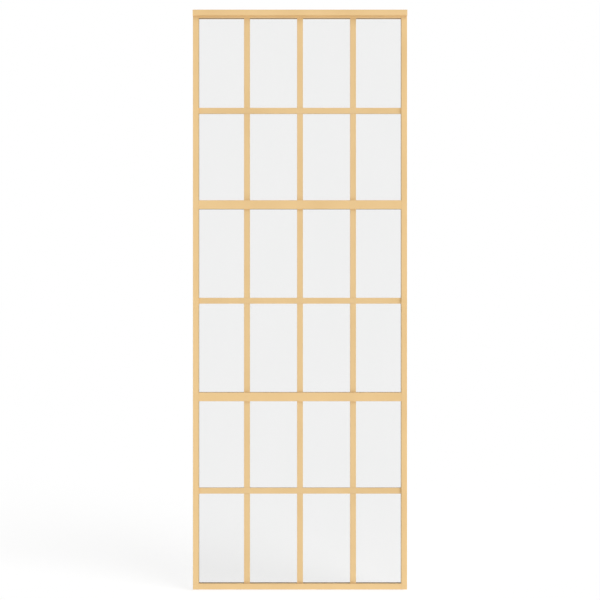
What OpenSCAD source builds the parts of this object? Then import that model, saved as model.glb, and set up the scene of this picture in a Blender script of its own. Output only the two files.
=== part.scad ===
// Glass sliding door: a slim framed leaf that hangs in a head track on rollers.
// Millimetres. X runs across the door, Y from front to back, Z up.
// The origin is under the middle of the leaf.

/* [Overall] */
// Width of the leaf, and length of the head track above it
overall_w = 758; // [740:1:1100]
// Height from the underside of the leaf to the top of the head track
overall_h = 2050; // [1800:1:2400]

/* [Leaf frame] */
// Depth of the stiles and rails, front to back
frame_d = 25; // [23:0.5:32]
// Width of a stile's face
stile_w = 20.5; // [19:0.5:32]
// Height of the bottom rail's face
bottom_rail_h = 21; // [19:0.5:40]
// Height of the top rail, of which the head track hides the upper part
top_rail_h = 21; // [20.5:0.5:30]
// Height of the two mid rails' faces
mid_rail_h = 31; // [29:0.5:45]
// How much taller the middle opening is than the other two
middle_gain = 4; // [0:0.5:20]
// Wall of the hollow frame sections
frame_wall = 1.6; // [1.3:0.1:1.8]
// Radius of the frame's outer edges
frame_edge_r = 1; // [0.3:0.1:1.4]
// Width of the groove that takes the glass and its seal
groove_w = 10; // [9:0.1:11]
// Depth of that groove
groove_depth = 11; // [9:0.5:11.5]

/* [Glass] */
// Thickness of the panes
glass_t = 5; // [4:0.5:6]
// Room left between a pane's edge and the bottom of its groove
glass_edge_gap = 2; // [1:0.1:4]
// How far the seal lies below the edge of the groove
seal_recess = 0.1; // [0:0.1:3]
// Clearance of the seal in the groove and round the glass
seal_gap = 0.05; // [0.02:0.01:0.2]

/* [Glazing bars] */
// Width of the bars that divide the panes
bar_w = 21; // [12:0.5:30]
// Thickness of the bars
bar_t = 3; // [2:0.1:5]
// Distance between neighbouring upright bars
bar_pitch = 188; // [150:1:190]
// How far the outer cross bars lie from the middles of their openings, towards the mid rails
cross_shift = 5; // [0:0.5:20]
// Radius of the bars' outer edges
bar_edge_r = 0.8; // [0.2:0.1:0.9]
// Clearance in the halved joints where bars cross
lap_gap = 0.1; // [0.05:0.01:0.3]
// Clearance between a bar's end and the frame
bar_end_gap = 0.2; // [0.1:0.1:1]

/* [Head track] */
// Thickness of the track's side walls
head_wall = 2; // [1.5:0.1:3]
// Thickness of the track's top web
head_web = 2.6; // [2.4:0.1:4]
// Thickness of the ledges that carry the rollers
ledge_t = 2; // [1.5:0.1:3]
// Clearance between the leaf and the edge of a ledge
slot_gap = 1.5; // [1:0.1:3]
// Room between the end of an axle and the track's wall
track_side_gap = 0.4; // [0.3:0.1:2]
// Room above the rollers
wheel_top_gap = 2.1; // [1.5:0.1:5]
// Radius of the track's outer edges
head_edge_r = 0.8; // [0.3:0.1:1.4]
// Bore of the fixing holes in the web
fixing_d = 5; // [4:0.1:6]
// Width of their countersinks
fixing_head_d = 8; // [7:0.1:9]
// Distance from the track's end to the outer fixing holes
fixing_end = 69; // [50:1:120]
// Distance from the middle to the inner fixing holes
fixing_inner_x = 105; // [60:1:160]

/* [Rollers] */
// Diameter of the rollers
wheel_d = 13; // [12:0.5:16]
// Width of a roller's tread
wheel_w = 5; // [4:0.5:7]
// Clearance between a roller and its ledge
run_gap = 0.3; // [0.2:0.05:0.6]
// Diameter of the axles
axle_d = 4; // [3:0.5:5]
// Radial clearance on the axles
axle_gap = 0.05; // [0.02:0.01:0.1]
// Height of the leaf's top above the axles
axle_cover = 5.2; // [4.8:0.1:6]
// Distance from the leaf's side edge to an axle
roller_end = 229; // [225:1:269]
// Length of a roller block
block_l = 24; // [22:1:40]
// Clearance of a roller block in the top rail
block_gap = 0.2; // [0.1:0.05:0.5]
// Thickness of the clips on the axles' ends
clip_t = 0.6; // [0.4:0.1:1]
// Radius of those clips
clip_r = 3.2; // [2.8:0.1:4]

/* [Stops] */
// How far the leaf slides to each side
travel = 200; // [100:1:202]
// Length of a stop's body
stop_l = 14; // [10:0.5:15]
// Radius of the stop's nose
stop_nose_r = 3; // [2:0.5:4]
// Clearance left at the end of the travel
stop_gap = 0.5; // [0.3:0.1:2]

/* [Screws] */
// Diameter of the frame screws
screw_d = 3.9; // [3.4:0.1:4.4]
// Length of the frame screws
screw_l = 40; // [34:1:60]
// Width of their countersunk heads
screw_head_d = 8; // [6.5:0.1:9]
// Diameter of the small screws in the roller blocks and stops
small_screw_d = 2.9; // [2.4:0.1:3]
// Length of the small screws
small_screw_l = 7.5; // [6:0.5:8]
// Width of their countersunk heads
small_head_d = 5.4; // [4.6:0.1:5.6]
// Radial clearance round the screws
screw_gap = 0.06; // [0.04:0.01:0.08]

/* [Foot of the leaf] */
// Width of the groove for a floor guide
guide_w = 9; // [7:0.5:10]
// Thickness of the groove's liner
liner_t = 1; // [0.8:0.1:1.2]
// Clearance round the liner
liner_gap = 0.1; // [0.05:0.01:0.3]
// Thickness of the caps under the stiles
cap_t = 1.5; // [1:0.1:3]
// Length of a cap's plug
cap_plug = 8; // [4:0.5:8.5]
// Clearance round the plug
cap_gap = 0.15; // [0.05:0.05:0.4]

/* [Hidden] */
$fn = 64;
over = 1;

GOLD = [0.93, 0.79, 0.57];
GLASS = [0.82, 0.88, 0.88, 0.35];
RUBBER = [0.35, 0.34, 0.32];
STEEL = [0.70, 0.71, 0.73];
NYLON = [0.88, 0.87, 0.83];
DARK = [0.16, 0.16, 0.17];

FACES = ["front", "back"];
SIDES = ["left", "right"];
PANES = ["lower", "middle", "upper"];
COLUMNS = ["left", "centre", "right"];

// Running gear, from the ledge upwards and from the leaf's face outwards
wheel_r = wheel_d / 2;
axle_r = axle_d / 2;
slot_w = frame_d + 2 * slot_gap;
wheel_in = slot_w / 2;
wheel_out = wheel_in + wheel_w;
hub_in = frame_d / 2 + run_gap;
clip_gap = 0.2;
groove_play = 0.05;
axle_tail = 0.3;
clip_y = wheel_out + clip_gap;
axle_half = clip_y + clip_t + axle_tail;
head_d = 2 * (axle_half + track_side_gap + head_wall);
head_h = ledge_t + run_gap + wheel_d + wheel_top_gap + head_web;
head_bottom = overall_h - head_h;
ledge_top = head_bottom + ledge_t;
web_z = overall_h - head_web;
axle_z = ledge_top + run_gap + wheel_r;

// Fixing holes along the head track
fixing_outer_x = overall_w / 2 - fixing_end;
fixing_x = [-fixing_outer_x, -fixing_inner_x, fixing_inner_x, fixing_outer_x];

// Leaf
leaf_w = overall_w;
leaf_top = axle_z + axle_cover;
top_rail_z = leaf_top - top_rail_h;
opening_w = leaf_w - 2 * stile_w;
outer_h = (top_rail_z - bottom_rail_h - 2 * mid_rail_h - middle_gain) / 3;
opening_h = [outer_h, outer_h + middle_gain, outer_h];
lower_mid_z = bottom_rail_h + opening_h[0];
upper_mid_z = lower_mid_z + mid_rail_h + opening_h[1];
opening_z = [bottom_rail_h, lower_mid_z + mid_rail_h, upper_mid_z + mid_rail_h];

// Frame sections
hole_d = screw_d + 2 * screw_gap;
channel_w = hole_d + 2 * screw_gap;
lip_t = (frame_d - groove_w) / 2;
lip_y = (groove_w + lip_t) / 2;
web_in = groove_depth + frame_wall;
lip_mid = (groove_depth + frame_wall) / 2;
inner_d = frame_d - 2 * frame_wall;

// Heights at which screws enter the rails, from the bottom rail up
screw_z = [
    bottom_rail_h - lip_mid,
    lower_mid_z + mid_rail_h / 2,
    upper_mid_z + mid_rail_h / 2,
    top_rail_z + lip_mid
];

// Middles of the glazing bars
cross_z = [for (i = [0 : 2]) opening_z[i] + opening_h[i] / 2 + (1 - i) * cross_shift];
upright_x = [for (c = [-1 : 1]) c * bar_pitch];

// Glass
glass_in = groove_depth - glass_edge_gap;
glass_w = opening_w + 2 * glass_in;
seal_base = glass_edge_gap - seal_gap;

// Roller blocks and stops
roller_x = leaf_w / 2 - roller_end;
block_x = [-roller_x, roller_x];
block_screw_x = block_l / 2 - 4;
stop_x = roller_x + travel + wheel_r + stop_gap;
stop_in = wheel_in + run_gap;
stop_out = head_d / 2 - head_wall - groove_play;
stop_mid_y = (stop_in + stop_out) / 2;
stop_body_x = stop_x + stop_nose_r;
stop_screw_x = stop_body_x + stop_l / 2;
small_hole_d = small_screw_d + 2 * screw_gap;

// Shared shapes

module rounded_rect(w, h, r) {
    square([w - 2 * r, h], center = true);
    square([w, h - 2 * r], center = true);
    for (sx = [-1, 1], sy = [-1, 1])
        translate([sx * (w / 2 - r), sy * (h / 2 - r)])
            circle(r);
}

// Lays a flat section along X, with its x across the depth and its y upwards
module along_x(length) {
    rotate([90, 0, 90])
        linear_extrude(length, center = true)
            children();
}

// Shows its children as drawn on the back, or mirrored to the front
module on_face(face) {
    if (face == "front")
        mirror([0, 1, 0])
            children();
    else
        children();
}

// Shows its children as drawn on the left, or mirrored to the right
module on_side(side) {
    if (side == "right")
        mirror([1, 0, 0])
            children();
    else
        children();
}

// Countersunk screw that points down from a surface at z = 0
module screw(d, head_d, length) {
    translate([0, 0, -length])
        cylinder(d = d, h = length);
    translate([0, 0, -(head_d - d) / 2])
        cylinder(d1 = d, d2 = head_d, h = (head_d - d) / 2);
}

// Hole for that screw
module screw_hole(d, head_d, length) {
    translate([0, 0, -length])
        cylinder(d = d + 2 * screw_gap, h = length + over);
    translate([0, 0, -(head_d - d) / 2])
        cylinder(d1 = d + 2 * screw_gap, d2 = head_d + 2 * screw_gap, h = (head_d - d) / 2);
}

// Frame sections, drawn with the glazed edge at y = 0 and the body below it

module glazed_edge() {
    translate([-groove_w / 2, -groove_depth])
        square([groove_w, groove_depth + over]);
    for (s = [-1, 1])
        translate([s * lip_y - channel_w / 2, -groove_depth])
            square([channel_w, groove_depth - frame_wall]);
}

module edge_section(h) {
    difference() {
        translate([0, -h / 2])
            rounded_rect(frame_d, h, frame_edge_r);
        glazed_edge();
        translate([-inner_d / 2, frame_wall - h])
            square([inner_d, h - web_in - frame_wall]);
    }
}

module foot_section(h) {
    cell_w = (inner_d - guide_w) / 2 - frame_wall;
    difference() {
        translate([0, -h / 2])
            rounded_rect(frame_d, h, frame_edge_r);
        glazed_edge();
        translate([-guide_w / 2, -h - over])
            square([guide_w, h - web_in + over]);
        for (s = [-1, 1])
            translate([s * (inner_d - cell_w) / 2 - cell_w / 2, frame_wall - h])
                square([cell_w, h - web_in - frame_wall]);
    }
}

module mid_section(h) {
    middle_w = 2 * (lip_y - channel_w / 2 - frame_wall);
    cell_h = h - 2 * web_in;
    difference() {
        translate([0, -h / 2])
            rounded_rect(frame_d, h, frame_edge_r);
        glazed_edge();
        translate([0, -h])
            mirror([0, 1])
                glazed_edge();
        translate([0, -h / 2])
            square([middle_w, cell_h], center = true);
        for (s = [-1, 1])
            translate([s * lip_y, -h / 2])
                square([channel_w, cell_h], center = true);
    }
}

// Places children at each frame screw of the left stile, pointing into the rails
module at_frame_screws() {
    for (z = screw_z, s = [-1, 1])
        translate([-leaf_w / 2, s * lip_y, z])
            rotate([0, -90, 0])
                children();
}

// Head

module head_section() {
    difference() {
        translate([0, head_h / 2])
            rounded_rect(head_d, head_h, head_edge_r);
        translate([head_wall - head_d / 2, ledge_t])
            square([head_d - 2 * head_wall, head_h - ledge_t - head_web]);
        translate([-slot_w / 2, -over])
            square([slot_w, ledge_t + 2 * over]);
    }
}

module at_stop_screws() {
    for (sx = [-1, 1], sy = [-1, 1])
        translate([sx * stop_screw_x, sy * stop_mid_y, overall_h])
            children();
}

module head_track() {
    sink_h = (fixing_head_d - fixing_d) / 2;
    color(GOLD)
        difference() {
            translate([0, 0, head_bottom])
                along_x(overall_w)
                    head_section();
            for (x = fixing_x)
                translate([x, 0, web_z]) {
                    translate([0, 0, -over])
                        cylinder(d = fixing_d, h = head_web + 2 * over);
                    cylinder(d1 = fixing_head_d, d2 = fixing_d, h = sink_h);
                }
            at_stop_screws()
                screw_hole(small_screw_d, small_head_d, head_web + over);
        }
}

module track_stop(face, side) {
    body_h = web_z - ledge_top - groove_play;
    color(DARK)
        on_face(face)
            on_side(side)
                difference() {
                    union() {
                        translate([-stop_body_x - stop_l, stop_in, ledge_top])
                            cube([stop_l, stop_out - stop_in, body_h]);
                        translate([-stop_body_x, stop_in, axle_z])
                            rotate([-90, 0, 0])
                                cylinder(r = stop_nose_r, h = stop_out - stop_in);
                    }
                    translate([-stop_screw_x, stop_mid_y, overall_h - small_screw_l - screw_gap])
                        cylinder(d = small_hole_d, h = small_screw_l);
                }
}

module stop_screws() {
    color(STEEL)
        at_stop_screws()
            screw(small_screw_d, small_head_d, small_screw_l);
}

// Leaf frame

module stile(side) {
    color(GOLD)
        on_side(side)
            difference() {
                translate([stile_w - leaf_w / 2, 0, cap_t])
                    rotate([0, 0, -90])
                        linear_extrude(leaf_top - cap_t)
                            edge_section(stile_w);
                at_frame_screws()
                    screw_hole(screw_d, screw_head_d, stile_w + over);
            }
}

module top_rail() {
    color(GOLD)
        difference() {
            translate([0, 0, top_rail_z])
                along_x(opening_w)
                    mirror([0, 1])
                        edge_section(top_rail_h);
            for (x = block_x)
                translate([x, 0, axle_z])
                    rotate([90, 0, 0])
                        cylinder(r = axle_r + axle_gap, h = frame_d + 2 * over, center = true);
            at_block_screws()
                screw_hole(small_screw_d, small_head_d, frame_wall + over);
        }
}

module bottom_rail() {
    color(GOLD)
        translate([0, 0, bottom_rail_h])
            along_x(opening_w)
                foot_section(bottom_rail_h);
}

module mid_rail(z) {
    color(GOLD)
        translate([0, 0, z + mid_rail_h])
            along_x(opening_w)
                mid_section(mid_rail_h);
}

module frame_screws(side) {
    color(STEEL)
        on_side(side)
            at_frame_screws()
                screw(screw_d, screw_head_d, screw_l);
}

// Glass, seals and bars

module pane(i) {
    color(GLASS)
        translate([-glass_w / 2, -glass_t / 2, opening_z[i] - glass_in])
            cube([glass_w, glass_t, opening_h[i] + 2 * glass_in]);
}

// A block centred on opening i, larger than it by margin on each edge
module opening_block(i, margin, depth) {
    translate([0, 0, opening_z[i] + opening_h[i] / 2])
        cube([opening_w + 2 * margin, depth, opening_h[i] + 2 * margin], center = true);
}

module seal(i) {
    color(RUBBER)
        difference() {
            opening_block(i, glass_in + seal_base, groove_w - 2 * seal_gap);
            opening_block(i, seal_recess, groove_w + over);
            opening_block(i, glass_in + seal_gap, glass_t + 2 * seal_gap);
        }
}

// Section of a bar, flat on the glass at y = 0 with its outer edges rounded
module bar_section() {
    translate([-bar_w / 2, 0])
        square([bar_w, bar_t - bar_edge_r]);
    translate([bar_edge_r - bar_w / 2, 0])
        square([bar_w - 2 * bar_edge_r, bar_t]);
    for (s = [-1, 1])
        translate([s * (bar_w / 2 - bar_edge_r), bar_t - bar_edge_r])
            circle(bar_edge_r);
}

// Uprights are halved on their outer side where the cross bar passes
module upright_bar(face, i, c) {
    notch_h = bar_w + 2 * lap_gap;
    color(GOLD)
        on_face(face)
            translate([upright_x[c], glass_t / 2, 0])
                difference() {
                    translate([0, 0, opening_z[i] + bar_end_gap])
                        linear_extrude(opening_h[i] - 2 * bar_end_gap)
                            bar_section();
                    translate([-bar_w / 2 - over, bar_t / 2, cross_z[i] - notch_h / 2])
                        cube([bar_w + 2 * over, bar_t, notch_h]);
                }
}

// Cross bars are halved on their inner side where the uprights pass
module cross_bar(face, i) {
    notch_w = bar_w + 2 * lap_gap;
    notch_t = (bar_t + lap_gap) / 2;
    color(GOLD)
        on_face(face)
            translate([0, glass_t / 2, cross_z[i]])
                difference() {
                    along_x(opening_w - 2 * bar_end_gap)
                        rotate(-90)
                            bar_section();
                    for (x = upright_x)
                        translate([x - notch_w / 2, -over, -bar_w / 2 - over])
                            cube([notch_w, notch_t + over, bar_w + 2 * over]);
                }
}

// Running gear

module at_block_screws() {
    for (x = block_x, s = [-1, 1])
        translate([x + s * block_screw_x, 0, leaf_top])
            children();
}

module roller_block(side) {
    block_d = inner_d - 2 * block_gap;
    block_h = top_rail_h - web_in - frame_wall - block_gap;
    block_top = leaf_top - frame_wall;
    color(NYLON)
        on_side(side)
            difference() {
                translate([-roller_x - block_l / 2, -block_d / 2, block_top - block_h])
                    cube([block_l, block_d, block_h]);
                translate([-roller_x, 0, axle_z])
                    rotate([90, 0, 0])
                        cylinder(r = axle_r + axle_gap, h = frame_d, center = true);
                for (s = [-1, 1])
                    translate([s * block_screw_x - roller_x, 0, leaf_top - small_screw_l - over])
                        cylinder(d = small_hole_d, h = small_screw_l + over);
            }
}

module block_screws() {
    color(STEEL)
        at_block_screws()
            screw(small_screw_d, small_head_d, small_screw_l);
}

module axle(side) {
    neck_r = axle_r - 0.5;
    neck_w = clip_t + 2 * groove_play;
    color(STEEL)
        on_side(side)
            translate([-roller_x, 0, axle_z])
                rotate([90, 0, 0])
                    difference() {
                        cylinder(r = axle_r, h = 2 * axle_half, center = true);
                        for (s = [-1, 1])
                            translate([0, 0, s * (clip_y + clip_t / 2)])
                                difference() {
                                    cylinder(r = axle_r + over, h = neck_w, center = true);
                                    cylinder(r = neck_r, h = neck_w + over, center = true);
                                }
                    }
}

// Open spring clips in the necks of the axles
module axle_clips() {
    neck_r = axle_r - 0.5;
    mouth_w = 2 * neck_r - 0.4;
    color(STEEL)
        for (face = FACES, side = SIDES)
            on_face(face)
                on_side(side)
                    translate([-roller_x, clip_y, axle_z])
                        rotate([-90, 0, 0])
                            difference() {
                                cylinder(r = clip_r, h = clip_t);
                                translate([0, 0, -over])
                                    cylinder(r = neck_r + groove_play, h = clip_t + 2 * over);
                                translate([-mouth_w / 2, 0, -over])
                                    cube([mouth_w, clip_r + over, clip_t + 2 * over]);
                            }
}

module wheel(face, side) {
    bore_r = axle_r + axle_gap;
    hub_r = axle_r + 1.2;
    rim_r = wheel_r - 1.3;
    dish = 0.8;
    bevel = 0.4;
    color(NYLON)
        on_face(face)
            on_side(side)
                translate([-roller_x, 0, axle_z])
                    rotate([-90, 0, 0])
                        rotate_extrude()
                            polygon([
                                [bore_r, hub_in],
                                [hub_r, hub_in],
                                [hub_r, wheel_in + dish],
                                [rim_r, wheel_in + dish],
                                [rim_r, wheel_in],
                                [wheel_r - bevel, wheel_in],
                                [wheel_r, wheel_in + bevel],
                                [wheel_r, wheel_out - bevel],
                                [wheel_r - bevel, wheel_out],
                                [rim_r, wheel_out],
                                [rim_r, wheel_out - dish],
                                [hub_r, wheel_out - dish],
                                [hub_r, wheel_out],
                                [bore_r, wheel_out]
                            ]);
}

// Foot of the leaf

module guide_liner() {
    liner_w = guide_w - 2 * liner_gap;
    liner_h = bottom_rail_h - web_in - liner_gap;
    color(DARK)
        along_x(opening_w)
            translate([0, liner_gap])
                difference() {
                    translate([-liner_w / 2, 0])
                        square([liner_w, liner_h]);
                    translate([liner_t - liner_w / 2, -over])
                        square([liner_w - 2 * liner_t, liner_h - liner_t + over]);
                }
}

// Cap that leaves the foot of the stile's glazing groove open
module stile_cap(side) {
    plug_d = inner_d - 2 * cap_gap;
    plug_w = stile_w - web_in - frame_wall - 2 * cap_gap;
    color(GOLD)
        on_side(side)
            translate([-leaf_w / 2, 0, 0]) {
                linear_extrude(cap_t)
                    difference() {
                        translate([stile_w / 2, 0])
                            rounded_rect(stile_w, frame_d, frame_edge_r);
                        translate([stile_w - groove_depth, -groove_w / 2])
                            square([groove_depth + over, groove_w]);
                    }
                translate([frame_wall + cap_gap, -plug_d / 2, 0])
                    cube([plug_w, plug_d, cap_t + cap_plug]);
            }
}

// Drawing

head_track();
stop_screws();
top_rail();
bottom_rail();
mid_rail(upper_mid_z);  // upper_mid_rail
mid_rail(lower_mid_z);  // lower_mid_rail
block_screws();
axle_clips();
guide_liner();

for (s = SIDES) {
    stile(s);
    frame_screws(s);
    roller_block(s);
    axle(s);
    stile_cap(s);
}

for (f = FACES, s = SIDES) {
    track_stop(f, s);
    wheel(f, s);
}

for (i = [0 : 2]) {
    pane(i);
    seal(i);
}

for (f = FACES, i = [0 : 2]) {
    cross_bar(f, i);
    for (c = [0 : 2])
        upright_bar(f, i, c);
}
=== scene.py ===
"""Looks of a glass sliding door: gold frame and glazing bars, clear panes, seals, running gear and studio.

Metres. X runs across the door, Y from front to back, Z up, with the origin under the middle of the leaf.
"""

import math
from collections import namedtuple

import bmesh
import bpy
from mathutils import Matrix, Vector


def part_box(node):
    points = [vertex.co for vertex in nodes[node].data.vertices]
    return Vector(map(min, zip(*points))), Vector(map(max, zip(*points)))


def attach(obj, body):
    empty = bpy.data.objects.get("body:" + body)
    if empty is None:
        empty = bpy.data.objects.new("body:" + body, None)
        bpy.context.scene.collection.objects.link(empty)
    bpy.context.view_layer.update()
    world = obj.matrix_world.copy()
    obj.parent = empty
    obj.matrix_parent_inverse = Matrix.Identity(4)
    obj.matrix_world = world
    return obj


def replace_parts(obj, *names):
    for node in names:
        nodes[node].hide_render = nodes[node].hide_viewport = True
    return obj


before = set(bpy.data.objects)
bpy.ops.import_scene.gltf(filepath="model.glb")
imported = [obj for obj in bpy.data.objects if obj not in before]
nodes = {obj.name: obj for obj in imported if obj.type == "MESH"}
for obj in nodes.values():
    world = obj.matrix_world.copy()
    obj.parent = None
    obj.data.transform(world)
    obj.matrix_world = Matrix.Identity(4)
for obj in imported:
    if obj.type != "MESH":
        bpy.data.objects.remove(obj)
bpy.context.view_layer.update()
studio = bpy.context.scene

X, Y, Z = range(3)

# The sides of the door and the way each lies along its axis
FACES = {"front": -1, "back": 1}
SIDES = {"left": -1, "right": 1}
# The panes, with the rails below and above each
PANES = {
    "lower": ("bottom_rail", "lower_mid_rail"),
    "middle": ("lower_mid_rail", "upper_mid_rail"),
    "upper": ("upper_mid_rail", "top_rail"),
}
COLUMNS = ("left", "centre", "right")

# Colours, linear, as pairs that a material varies between
FRAME_TONES = ((0.803, 0.549, 0.262), (0.85, 0.595, 0.294))
# The bars' gold is a darker copy of the frame's gold: painted shade for their set-back place between the
# frame's lips
BAR_TONES_PAINTED_SHADE = ((0.77, 0.533, 0.26), (0.815, 0.578, 0.294))
GLASS_TONES = ((0.862, 0.866, 0.864), (0.872, 0.872, 0.872))
# The seal rubber's dark brown is partly painted shade: it stands for the gold's shade along the frame's
# inner edges as well as the rubber's own colour
RUBBER_AND_SHADE_TONES = ((0.115, 0.068, 0.032), (0.14, 0.086, 0.044))
STEEL_TONES = ((0.44, 0.45, 0.47), (0.56, 0.57, 0.58))
NYLON_TONES = ((0.68, 0.66, 0.60), (0.76, 0.74, 0.68))
DARK_TONES = ((0.032, 0.032, 0.034), (0.06, 0.06, 0.063))
# How much of the lamps' light each face of a pane lets through
GLASS_SHADOW = 0.5


def rgba(colour):
    return (*colour, 1.0)


def grey(level):
    return (level, level, level, 1.0)


WHITE = grey(1.0)


# Materials

# The part of its range that noise mostly fills
NOISE_LOW, NOISE_HIGH = 0.3, 0.7


class Nodes:
    """A material's node tree with short ways to add and join nodes."""

    def __init__(self, name):
        self.material = bpy.data.materials.new(name)
        self.material.use_nodes = True
        self.tree = self.material.node_tree
        self.tree.nodes.clear()
        self.output = self.add("OutputMaterial")

    def add(self, kind):
        return self.tree.nodes.new("ShaderNode" + kind)

    def join(self, start, end):
        self.tree.links.new(start, end)

    def noise(self, scale, detail, stretch=(1, 1, 1)):
        """Noise over the row frame, with a scale of its own along each axis."""
        place = self.add("TexCoord")
        mapping = self.add("Mapping")
        mapping.inputs["Scale"].default_value = stretch
        noise = self.add("TexNoise")
        noise.inputs["Scale"].default_value = scale
        noise.inputs["Detail"].default_value = detail
        self.join(place.outputs["Object"], mapping.inputs["Vector"])
        self.join(mapping.outputs["Vector"], noise.inputs["Vector"])
        return noise.outputs["Fac"]

    def vary_colour(self, fac, tones, low_at=NOISE_LOW, high_at=NOISE_HIGH):
        ramp = self.add("ValToRGB")
        for stop, place, tone in zip(ramp.color_ramp.elements, (low_at, high_at), tones):
            stop.position = place
            stop.color = rgba(tone)
        self.join(fac, ramp.inputs["Fac"])
        return ramp.outputs["Color"]

    def vary_value(self, fac, low, high):
        span = self.add("MapRange")
        span.inputs["From Min"].default_value = NOISE_LOW
        span.inputs["From Max"].default_value = NOISE_HIGH
        span.inputs["To Min"].default_value = low
        span.inputs["To Max"].default_value = high
        self.join(fac, span.inputs["Value"])
        return span.outputs["Result"]

    def bump(self, height, strength, distance):
        bump = self.add("Bump")
        bump.inputs["Strength"].default_value = strength
        bump.inputs["Distance"].default_value = distance
        self.join(height, bump.inputs["Height"])
        return bump.outputs["Normal"]

    def principled(self, metallic=0.0):
        shader = self.add("BsdfPrincipled")
        shader.inputs["Metallic"].default_value = metallic
        self.join(shader.outputs["BSDF"], self.output.inputs["Surface"])
        return shader


def anodised(name, tones, grain):
    """Satin anodised aluminium, with fine lines along the extrusion and a soft cloudiness in its colour."""
    made = Nodes(name)
    shader = made.principled(metallic=0.25)
    shader.inputs["Specular IOR Level"].default_value = 0.2
    lines = made.noise(scale=1.0, detail=3.0, stretch=grain)
    clouds = made.noise(scale=5.0, detail=2.0)
    made.join(made.vary_colour(clouds, tones, low_at=0.2, high_at=0.55), shader.inputs["Base Color"])
    made.join(made.vary_value(lines, low=0.42, high=0.56), shader.inputs["Roughness"])
    made.join(made.bump(lines, strength=0.25, distance=0.00003), shader.inputs["Normal"])
    return made.material


def moulded(name, tones, smooth, rough, grain_scale):
    """Moulded rubber or plastic, with a fine matt grain and a roughness between smooth and rough."""
    made = Nodes(name)
    shader = made.principled()
    grain = made.noise(scale=grain_scale, detail=4.0)
    wear = made.noise(scale=60.0, detail=3.0)
    made.join(made.vary_colour(wear, tones), shader.inputs["Base Color"])
    made.join(made.vary_value(wear, low=smooth, high=rough), shader.inputs["Roughness"])
    made.join(made.bump(grain, strength=0.2, distance=0.00005), shader.inputs["Normal"])
    return made.material


def turned_steel(name, tones):
    """Zinc-plated steel with faint marks from its making."""
    made = Nodes(name)
    shader = made.principled(metallic=1.0)
    marks = made.noise(scale=900.0, detail=4.0, stretch=(1, 1, 0.3))
    made.join(made.vary_colour(marks, tones), shader.inputs["Base Color"])
    made.join(made.vary_value(marks, low=0.28, high=0.42), shader.inputs["Roughness"])
    made.join(made.bump(marks, strength=0.15, distance=0.00002), shader.inputs["Normal"])
    return made.material


def clear_glass(name, tones):
    """Float glass with faint smudges, which lets part of the lamps' light through."""
    made = Nodes(name)
    shader = made.principled()
    shader.inputs["IOR"].default_value = 1.5
    shader.inputs["Transmission Weight"].default_value = 1.0
    smudges = made.noise(scale=7.0, detail=4.0, stretch=(1, 1, 0.5))
    made.join(made.vary_colour(smudges, tones), shader.inputs["Base Color"])
    made.join(made.vary_value(smudges, low=0.0, high=0.02), shader.inputs["Roughness"])
    passing = made.add("BsdfTransparent")
    passing.inputs["Color"].default_value = grey(GLASS_SHADOW)
    path = made.add("LightPath")
    mix = made.add("MixShader")
    made.join(path.outputs["Is Shadow Ray"], mix.inputs["Fac"])
    made.join(shader.outputs["BSDF"], mix.inputs[1])
    made.join(passing.outputs["BSDF"], mix.inputs[2])
    made.join(mix.outputs["Shader"], made.output.inputs["Surface"])
    return made.material


# Stretch of the fine lines along an extrusion that runs along X or Z
ALONG_X = (4.0, 1500.0, 1500.0)
ALONG_Z = (1500.0, 1500.0, 4.0)

gold_x = anodised("gold_along_x", FRAME_TONES, ALONG_X)
gold_z = anodised("gold_along_z", FRAME_TONES, ALONG_Z)
# Darker copies of the frame's gold for the glazing bars: painted shade for their set-back place
shaded_bar_gold_x = anodised("bar_gold_painted_shade_along_x", BAR_TONES_PAINTED_SHADE, ALONG_X)
shaded_bar_gold_z = anodised("bar_gold_painted_shade_along_z", BAR_TONES_PAINTED_SHADE, ALONG_Z)
glass = clear_glass("clear_glass", GLASS_TONES)
# The seals' brown rubber is partly painted shade for the frame's inner edges
rubber = moulded("seal_rubber_and_painted_shade", RUBBER_AND_SHADE_TONES, smooth=0.64, rough=0.78, grain_scale=1800.0)
dark_plastic = moulded("dark_plastic", DARK_TONES, smooth=0.44, rough=0.58, grain_scale=1500.0)
nylon = moulded("nylon", NYLON_TONES, smooth=0.36, rough=0.50, grain_scale=1500.0)
steel = turned_steel("plated_steel", STEEL_TONES)


def finish_node(name, material):
    data = nodes[name].data
    data.materials.clear()
    data.materials.append(material)


for rail in ("head_track", "top_rail", "bottom_rail", "upper_mid_rail", "lower_mid_rail"):
    finish_node(rail, gold_x)
for side in SIDES:
    finish_node(f"{side}_stile", gold_z)
    finish_node(f"{side}_stile_cap", gold_x)
    finish_node(f"{side}_roller_block", nylon)
    finish_node(f"{side}_axle", steel)
for pane in PANES:
    finish_node(f"{pane}_pane", glass)
    finish_node(f"{pane}_seal", rubber)
for face in FACES:
    for pane in PANES:
        finish_node(f"{face}_{pane}_cross_bar", shaded_bar_gold_x)
        for column in COLUMNS:
            finish_node(f"{face}_{pane}_{column}_bar", shaded_bar_gold_z)
    for side in SIDES:
        finish_node(f"{face}_{side}_wheel", nylon)
        finish_node(f"track_stop_{face}_{side}", dark_plastic)
finish_node("guide_liner", dark_plastic)
finish_node("axle_clips", steel)


# Camera: it looks straight at the door, and its field at the leaf's front face is as wide as the
# photograph's frame.

VIEW_DISTANCE = 4.6
FIELD_WIDTH = 2.1231
EYE_HEIGHT = 1.0246
SENSOR = 36.0
leaf_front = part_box("left_stile")[0].y

camera_data = bpy.data.cameras.new("camera")
camera_data.sensor_width = SENSOR
camera_data.lens = SENSOR * VIEW_DISTANCE / FIELD_WIDTH
camera = bpy.data.objects.new("camera", camera_data)
camera.location = (0, leaf_front - VIEW_DISTANCE, EYE_HEIGHT)
camera.rotation_euler = (math.radians(90), 0, 0)
studio.collection.objects.link(camera)
studio.camera = camera


# Studio

FLOOR_Z = -0.006
FLOOR_HALF = 200.0
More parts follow.
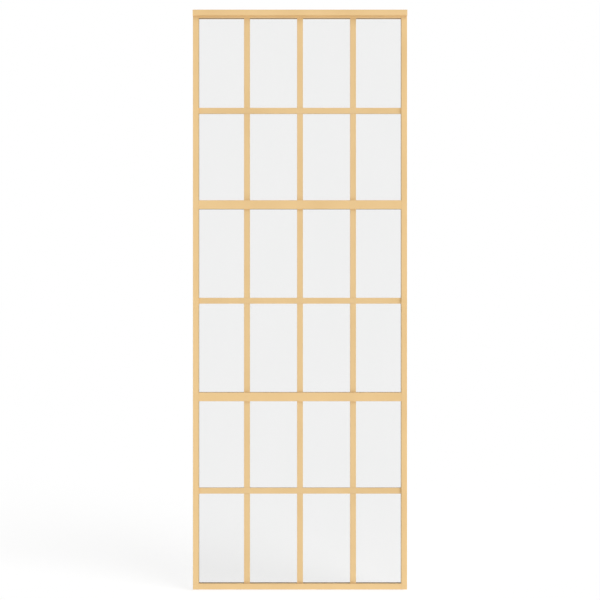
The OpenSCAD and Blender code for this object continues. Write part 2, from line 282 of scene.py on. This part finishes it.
# Matt colour and own light of the floor, first as it lights the door and then as it is seen
FLOOR_LIGHTING = (0.35, 1.05)
FLOOR_SEEN = (0.24, 0.875)
# Strength of the world, as it lights the door and as it is seen
AMBIENT = 0.05
BACKDROP = 1.0


def seen_directly(tree):
    """1 for rays that show a thing to the camera, straight or by a mirror or glass, and 0 for lighting."""
    path = tree.nodes.new("ShaderNodeLightPath")
    total = path.outputs["Is Camera Ray"]
    for other in ("Is Glossy Ray", "Is Transmission Ray"):
        larger = tree.nodes.new("ShaderNodeMath")
        larger.operation = "MAXIMUM"
        tree.links.new(total, larger.inputs[0])
        tree.links.new(path.outputs[other], larger.inputs[1])
        total = larger.outputs["Value"]
    return total


def make_floor():
    """White floor that shows a faint shadow and lights the door from below."""
    h = FLOOR_HALF
    corners = [(x, y, FLOOR_Z) for x, y in ((-h, -h), (h, -h), (h, h), (-h, h))]
    mesh = bpy.data.meshes.new("floor")
    mesh.from_pydata(corners, [], [(0, 1, 2, 3)])
    floor = bpy.data.objects.new("floor", mesh)
    studio.collection.objects.link(floor)
    made = Nodes("floor")
    mix = made.add("MixShader")
    made.join(seen_directly(made.tree), mix.inputs["Fac"])
    for place, (level, strength) in enumerate((FLOOR_LIGHTING, FLOOR_SEEN), start=1):
        matt = made.add("BsdfDiffuse")
        matt.inputs["Color"].default_value = grey(level)
        glow = made.add("Emission")
        glow.inputs["Color"].default_value = WHITE
        glow.inputs["Strength"].default_value = strength
        both = made.add("AddShader")
        made.join(matt.outputs["BSDF"], both.inputs[0])
        made.join(glow.outputs["Emission"], both.inputs[1])
        made.join(both.outputs["Shader"], mix.inputs[place])
    made.join(mix.outputs["Shader"], made.output.inputs["Surface"])
    mesh.materials.append(made.material)


def make_world():
    """White backdrop that lights the door only faintly."""
    world = bpy.data.worlds.new("studio")
    studio.world = world
    world.use_nodes = True
    tree = world.node_tree
    tree.nodes.clear()
    output = tree.nodes.new("ShaderNodeOutputWorld")
    mix = tree.nodes.new("ShaderNodeMixShader")
    tree.links.new(seen_directly(tree), mix.inputs["Fac"])
    for place, strength in enumerate((AMBIENT, BACKDROP), start=1):
        background = tree.nodes.new("ShaderNodeBackground")
        background.inputs["Color"].default_value = WHITE
        background.inputs["Strength"].default_value = strength
        tree.links.new(background.outputs["Background"], mix.inputs[place])
    tree.links.new(mix.outputs["Shader"], output.inputs["Surface"])


def soft_sun(name, towards, strength, spread):
    """Even light from far away, from the direction towards, as wide as spread degrees."""
    light = bpy.data.lights.new(name, "SUN")
    light.energy = strength
    light.angle = math.radians(spread)
    lamp = bpy.data.objects.new(name, light)
    lamp.rotation_euler = Vector(towards).to_track_quat("Z", "Y").to_euler()
    lamp.visible_glossy = False
    lamp.visible_transmission = False
    studio.collection.objects.link(lamp)


make_floor()
make_world()
soft_sun("key", towards=(0.50, -0.55, 0.68), strength=2.0, spread=35)
soft_sun("back_fill", towards=(0.05, 0.95, 0.20), strength=0.35, spread=120)


# Helpers for added pieces


def new_piece(name, bm, material, body):
    """A piece from a finished bmesh, which rides on a body."""
    bmesh.ops.recalc_face_normals(bm, faces=bm.faces)
    mesh = bpy.data.meshes.new(name)
    bm.to_mesh(mesh)
    bm.free()
    mesh.materials.append(material)
    piece = bpy.data.objects.new(name, mesh)
    studio.collection.objects.link(piece)
    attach(piece, body)
    return piece


def skin(bm, first, last):
    """Faces between two loops of as many corners."""
    for i in range(len(first)):
        j = (i + 1) % len(first)
        bm.faces.new((first[i], last[i], last[j], first[j]))


def middle(node):
    low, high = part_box(node)
    return (low + high) / 2


def extent(node):
    low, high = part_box(node)
    return high - low


# Screws with cross recesses and threads, which stand for the plain ones

Screw = namedtuple("Screw", "head shank length pitch")
FRAME_SCREW = Screw(head=0.008, shank=0.0039, length=extent("left_frame_screws").x, pitch=0.0014)
SMALL_SCREW = Screw(head=0.0054, shank=0.0029, length=extent("stop_screws").z, pitch=0.0008)

HEAD_SIDES = 48
THREAD_SIDES = 20
RINGS_PER_TURN = 6
FEWEST_RINGS = 8
# Bevel of the head's edge
RIM = 0.00015
# Reach and width of the recess's cross, at its mouth and at its bottom, as shares of the head's radius
RECESS_MOUTH = (0.56, 0.27)
RECESS_BOTTOM = (0.24, 0.16)
# Depth of the recess as a share of the head's height
RECESS_DEPTH = 0.85
# Width of the head's lower end, and height of the thread, as shares of the shank's radius
NECK = 0.98
THREAD_HEIGHT = 0.22
# Part of each turn that the thread's ridge takes up
RIDGE_SHARE = 0.5
# Length of the tip in head widths, and how much it narrows
TIP_LENGTH = 0.6
TIP_TAPER = 0.92
# Turns of the recesses, in radians: for each row of frame screws and for those at the back, and for
# each metre along X and Y for the stops' and blocks' screws
ROW_TURN, BACK_TURN = 0.7, 0.3
STOP_TURN_X, STOP_TURN_Y = 9, 20
BLOCK_TURN_X = 30


def ring(bm, radii, depth):
    made = []
    for i, radius in enumerate(radii):
        angle = math.tau * i / len(radii)
        made.append(bm.verts.new((radius * math.cos(angle), radius * math.sin(angle), -depth)))
    return made


def cross(bm, radius, shares, depth):
    """Corners of a cross, in order, whose arms have those shares of a radius as reach and width."""
    a, b = radius * shares[0], radius * shares[1] / 2
    made = []
    for turn in range(4):
        c, s = round(math.cos(turn * math.pi / 2)), round(math.sin(turn * math.pi / 2))
        for x, y in ((a, -b), (a, b), (b, b)):
            made.append(bm.verts.new((c * x - s * y, s * x + c * y, -depth)))
    return made


def add_screw(bm, screw, place):
    """A countersunk screw that points down from z = 0, moved by place."""
    start = len(bm.verts)
    head_r, shank_r = screw.head / 2, screw.shank / 2
    cone = head_r - shank_r
    top = ring(bm, [head_r - RIM] * HEAD_SIDES, 0)
    rim = ring(bm, [head_r] * HEAD_SIDES, RIM)
    neck = ring(bm, [shank_r * NECK] * HEAD_SIDES, cone)
    skin(bm, top, rim)
    skin(bm, rim, neck)
    bm.faces.new(list(reversed(neck)))

    mouth = cross(bm, head_r, RECESS_MOUTH, 0)
    bottom = cross(bm, head_r, RECESS_BOTTOM, cone * RECESS_DEPTH)
    skin(bm, mouth, bottom)
    bm.faces.new(bottom)
    edges = []
    for loop in (top, mouth):
        edges += [bm.edges.get(ends) for ends in zip(loop, loop[1:] + loop[:1])]
    bmesh.ops.triangle_fill(bm, use_beauty=True, use_dissolve=False, edges=edges, normal=(0, 0, 1))

    thread_h = shank_r * THREAD_HEIGHT
    tip_from = screw.length - TIP_LENGTH * screw.head

    def thread_radius(depth, turn):
        phase = (depth / screw.pitch + turn) % 1
        ridge = max(0.0, 1 - abs(phase - 0.5) * 2 / RIDGE_SHARE)
        fade = min(1.0, (depth - cone) / screw.pitch)
        taper = 1 - TIP_TAPER * max(0.0, (depth - tip_from) / (screw.length - tip_from))
        return (shank_r - thread_h + thread_h * ridge * fade) * taper

    count = max(FEWEST_RINGS, round((screw.length - cone) / screw.pitch * RINGS_PER_TURN))
    rings = []
    for k in range(count + 1):
        depth = cone + (screw.length - cone) * k / count
        rings.append(ring(bm, [thread_radius(depth, i / THREAD_SIDES) for i in range(THREAD_SIDES)], depth))
    for upper, lower in zip(rings, rings[1:]):
        skin(bm, upper, lower)
    bm.faces.new(rings[0])
    bm.faces.new(list(reversed(rings[-1])))
    bm.verts.ensure_lookup_table()
    bmesh.ops.transform(bm, matrix=place, verts=bm.verts[start:])


def screw_set(name, node, body, screw, places):
    bm = bmesh.new()
    for place in places:
        add_screw(bm, screw, place)
    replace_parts(new_piece(name, bm, steel, body), node)


def outer_heads(node, screw, axis):
    """Where the first and last screw heads of a node lie along an axis."""
    low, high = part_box(node)
    return low[axis] + screw.head / 2, high[axis] - screw.head / 2


def upright(x, y, z, turn):
    """Place of a screw that points down, with its recess turned."""
    return Matrix.Translation((x, y, z)) @ Matrix.Rotation(turn, 4, "Z")


for side, sign in SIDES.items():
    node = f"{side}_frame_screws"
    lowest, highest = outer_heads(node, FRAME_SCREW, Z)
    heights = (lowest, middle("lower_mid_rail").z, middle("upper_mid_rail").z, highest)
    low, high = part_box(node)
    edge = low.x if sign < 0 else high.x
    sideways = Matrix.Rotation(sign * math.pi / 2, 4, "Y")
    places = []
    for row, z in enumerate(heights):
        for y in outer_heads(node, FRAME_SCREW, Y):
            turn = Matrix.Rotation(ROW_TURN * row + BACK_TURN * (y > 0), 4, "Z")
            places.append(Matrix.Translation((edge, y, z)) @ sideways @ turn)
    screw_set(f"{side}_threaded_screws", node, "leaf", FRAME_SCREW, places)

stop_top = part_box("stop_screws")[1].z
stop_places = [
    upright(x, y, stop_top, STOP_TURN_X * x + STOP_TURN_Y * y)
    for x in outer_heads("stop_screws", SMALL_SCREW, X)
    for y in outer_heads("stop_screws", SMALL_SCREW, Y)
]
screw_set("threaded_stop_screws", "stop_screws", "head", SMALL_SCREW, stop_places)

block_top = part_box("block_screws")[1].z
block_places = []
for side, outer_x in zip(SIDES, outer_heads("block_screws", SMALL_SCREW, X)):
    inner_x = 2 * middle(f"{side}_roller_block").x - outer_x
    for x in (outer_x, inner_x):
        block_places.append(upright(x, 0, block_top, BLOCK_TURN_X * x))
screw_set("threaded_block_screws", "block_screws", "leaf", SMALL_SCREW, block_places)


# Soft lips of the seals, which press on the glass along the frame's edges, cut out round the bars' ends.
# Their dark brown strip is the seals' own rubber and partly painted shade along the frame's inner edges

# How far a lip stands into the opening, and its foot into the groove
LIP = 0.00075
LIP_FOOT = 0.0001
# Room between a lip and a bar
LIP_GAP = 0.0001
# Corners this close are joined, so that the lips meet at the opening's corners
LIP_WELD = 0.000001
# Heights above the glass: underside, end of the blunt nose, middle of the slope, and foot
LIP_UNDER, LIP_NOSE, LIP_SLOPE, LIP_TOP = 0.00005, 0.0006, 0.0013, 0.0023
# Share of the lip's reach at the middle of its slope
SLOPE_REACH = 0.7
# Corners of a lip's section: reach into the opening and height above the glass
LIP_SECTION = (
    (-LIP_FOOT, LIP_UNDER),
    (LIP, LIP_UNDER),
    (LIP, LIP_NOSE),
    (SLOPE_REACH * LIP, LIP_SLOPE),
    (-LIP_FOOT, LIP_TOP),
)


def add_lip(bm, along, ends, edge, inward, bars, glass_y, outward):
    """Lip along one edge of an opening, with mitred ends that stay open and a gap at each bar.

    The edge runs between ends on one axis and lies at edge on the other. The lip stands inward from
    it, and outward from the glass's face at glass_y.
    """
    across = Z if along == X else X
    stops = [(ends[0], 1)]
    for low, high in bars:
        stops += [(low[along] - LIP_GAP, 0), (high[along] + LIP_GAP, 0)]
    stops.append((ends[1], -1))
    sections = []
    for place, mitre in stops:
        section = []
        for reach, height in LIP_SECTION:
            point = Vector()
            point[along] = place + mitre * reach
            point[across] = edge + inward * reach
            point[Y] = glass_y + outward * height
            section.append(bm.verts.new(point))
        if not mitre:
            bm.faces.new(section)
        sections.append(section)
    for first, last in zip(sections[::2], sections[1::2]):
        skin(bm, first, last)


edges_x = (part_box("left_stile")[1].x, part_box("right_stile")[0].x)
for pane, (rail_below, rail_above) in PANES.items():
    lips = bmesh.new()
    edges_z = (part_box(rail_below)[1].z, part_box(rail_above)[0].z)
    for face, outward in FACES.items():
        glass_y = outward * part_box(f"{pane}_pane")[1].y
        uprights = [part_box(f"{face}_{pane}_{column}_bar") for column in COLUMNS]
        cross_bars = [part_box(f"{face}_{pane}_cross_bar")]
        for edge_x, edge_z, inward in zip(edges_x, edges_z, (1, -1)):
            add_lip(lips, X, edges_x, edge_z, inward, uprights, glass_y, outward)
            add_lip(lips, Z, edges_z, edge_x, inward, cross_bars, glass_y, outward)
    bmesh.ops.remove_doubles(lips, verts=lips.verts, dist=LIP_WELD)
    new_piece(f"{pane}_seal_lips", lips, rubber, "leaf")


studio.view_settings.view_transform = "Standard"
